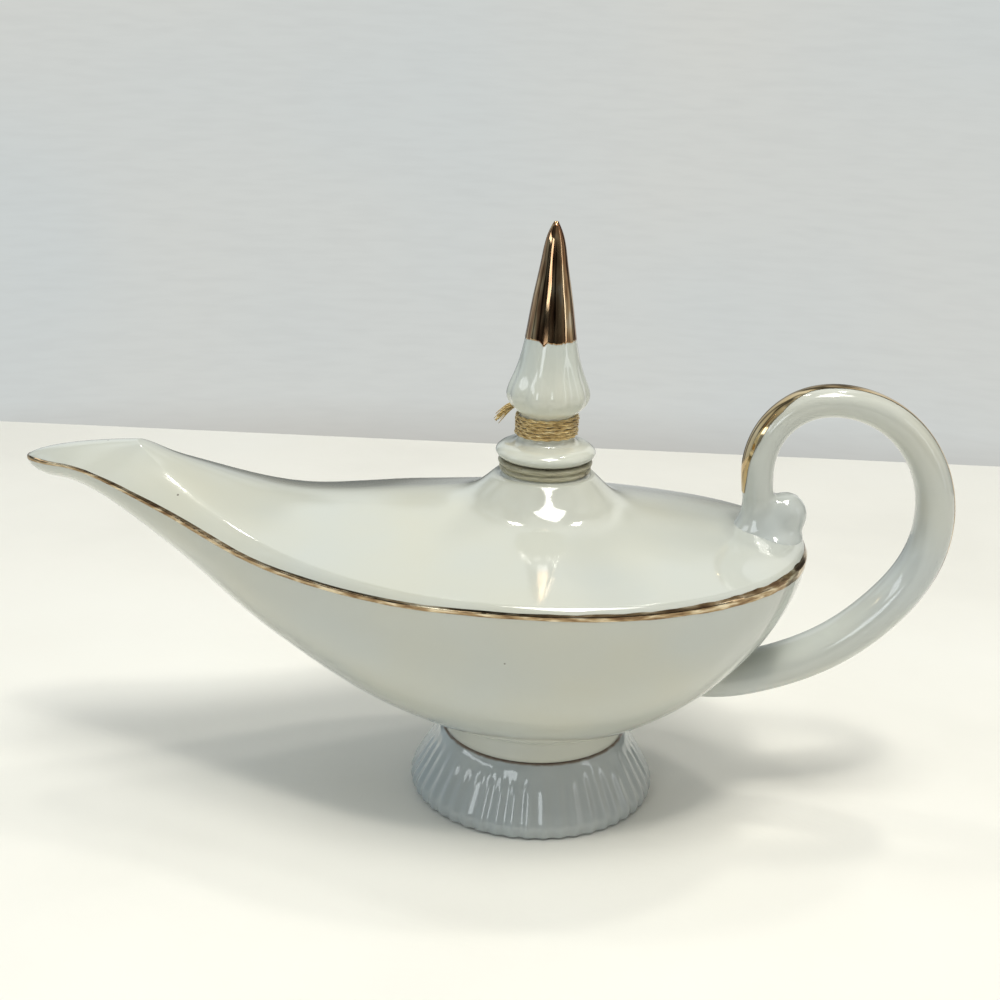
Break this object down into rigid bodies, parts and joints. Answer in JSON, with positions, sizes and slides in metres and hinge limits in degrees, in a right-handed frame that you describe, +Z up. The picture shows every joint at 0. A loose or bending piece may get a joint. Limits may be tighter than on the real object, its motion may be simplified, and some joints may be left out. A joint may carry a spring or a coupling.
{
  "type": "decorative oil lamp bottle",
  "caption": "White porcelain bottle in the shape of an antique oil lamp, with gilt edges, a looped handle and a lift-out stopper.",
  "frame": {"origin": "centre of the pedestal's foot, on the surface the lamp stands on", "axes": "+Z up; +X along the body from the stopper to the handle; the spout points to -X"},
  "size_m": [0.201, 0.0848, 0.1277],
  "materials": {
    "porcelain": "glossy white glaze, faintly uneven",
    "gilding": "polished gold lustre, worn thin on the edges",
    "seal_plastic": "soft satin plastic, yellowed",
    "twine": "two-strand natural twine, slightly fuzzy"
  },
  "bodies": {
    "lamp": {"bowl": "porcelain", "deck": "porcelain", "handle": "porcelain", "pedestal": "porcelain", "rim_gilding": "gilding", "handle_gilding": "gilding"},
    "seal": {"stopper_seal": "seal_plastic"},
    "stopper": {"stopper": "porcelain", "finial_gilding": "gilding", "twine_winding": "twine", "twine_tail": "twine"}
  },
  "joints": [
    {"name": "stopper_lift", "type": "slide", "parent": "lamp", "child": "seal", "axis": [0, 0, 1], "range_m": [0, 0.04]},
    {"name": "stopper_turn", "type": "hinge", "parent": "seal", "child": "stopper", "pos_m": [0, 0, 0.08], "axis": [0, 0, 1], "continuous": true}
  ]
}
